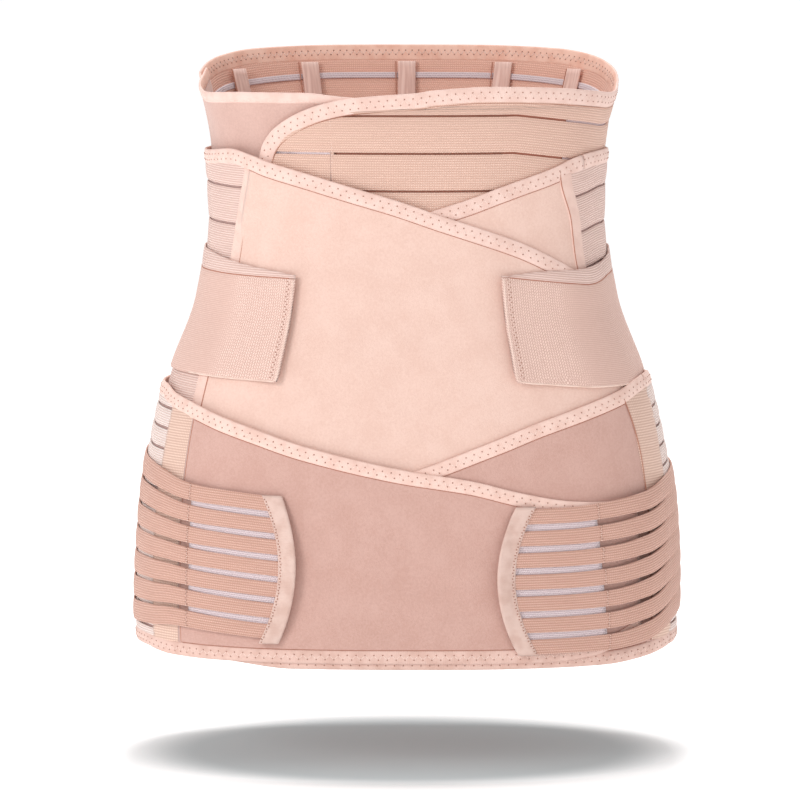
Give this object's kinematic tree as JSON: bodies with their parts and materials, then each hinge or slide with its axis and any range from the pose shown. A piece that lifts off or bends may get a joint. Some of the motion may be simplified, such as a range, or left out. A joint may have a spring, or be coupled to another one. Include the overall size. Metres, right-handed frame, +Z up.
{
  "type": "abdominal binder",
  "caption": "Layered elastic binder worn round waist, belly and hips: crossing velour front flaps, ribbed elastic strips, side pull straps and fan straps over the pelvis wrap.",
  "frame": {"origin": "on the upright centre line of the hollow, level with the narrowest part of the waist", "axes": "+Z up the torso, -Y out of the front where the flaps cross, +X to the viewer's right when the front is faced"},
  "size_m": [0.3615, 0.2503, 0.3929],
  "materials": {
    "waist_velour": "soft brushed loop velour",
    "waist_elastic": "matte herringbone elastic webbing",
    "belly_velour": "soft brushed loop velour",
    "belly_elastic": "matte ribbed elastic webbing",
    "pelvis_velour": "soft brushed loop velour",
    "pelvis_elastic": "matte ribbed elastic webbing",
    "binding": "matte folded elastic binding",
    "pelvis_binding": "matte folded elastic binding",
    "strap": "matte knitted elastic with a woven pattern",
    "fan_elastic": "matte ribbed elastic webbing",
    "tab": "matte brushed tab with a rolled edge",
    "tape": "matte woven seam tape",
    "mesh": "sheer open netting",
    "casing": "smooth satin tape over a flat stay"
  },
  "bodies": {
    "root": {"waist_binding_wrap": "binding", "waist_binding_bottom": "binding", "waist_elastic": "waist_elastic", "waist_mesh_1": "mesh", "waist_mesh_2": "mesh", "waist_mesh_3": "mesh", "waist_mesh_4": "mesh", "waist_mesh_5": "mesh", "waist_mesh_end": "mesh", "waist_binding_under": "binding", "waist_velour_end": "waist_velour", "waist_casing_1": "casing", "waist_casing_2": "casing", "waist_casing_3": "casing", "waist_casing_4": "casing", "waist_casing_5": "casing", "belly_binding_over": "binding", "belly_binding_under": "binding", "belly_panel_over": "belly_velour", "belly_panel_under": "belly_velour", "belly_elastic": "belly_elastic", "belly_binding_bottom": "binding", "belly_tape_left": "tape", "belly_tape_right": "tape", "belly_strap_wide_left": "strap", "belly_strap_narrow_left": "strap", "belly_strap_wide_right": "strap", "belly_strap_narrow_right": "strap", "pelvis_binding_over": "pelvis_binding", "pelvis_binding_under": "pelvis_binding", "pelvis_binding_over_bottom": "pelvis_binding", "pelvis_binding_under_bottom": "pelvis_binding", "pelvis_panel_over": "pelvis_velour", "pelvis_panel_under": "pelvis_velour", "pelvis_elastic": "pelvis_elastic", "pelvis_tape_left": "tape", "pelvis_tape_right": "tape", "pelvis_tab_left": "tab", "pelvis_mesh_left": "mesh", "pelvis_tab_right": "tab", "pelvis_mesh_right": "mesh", "pelvis_fan_left_1": "fan_elastic", "pelvis_fan_left_2": "fan_elastic", "pelvis_fan_left_3": "fan_elastic", "pelvis_fan_left_4": "fan_elastic", "pelvis_fan_left_5": "fan_elastic", "pelvis_fan_left_6": "fan_elastic", "pelvis_fan_left_7": "fan_elastic", "pelvis_fan_right_1": "fan_elastic", "pelvis_fan_right_2": "fan_elastic", "pelvis_fan_right_3": "fan_elastic", "pelvis_fan_right_4": "fan_elastic", "pelvis_fan_right_5": "fan_elastic", "pelvis_fan_right_6": "fan_elastic", "pelvis_fan_right_7": "fan_elastic"}
  },
  "joints": []
}
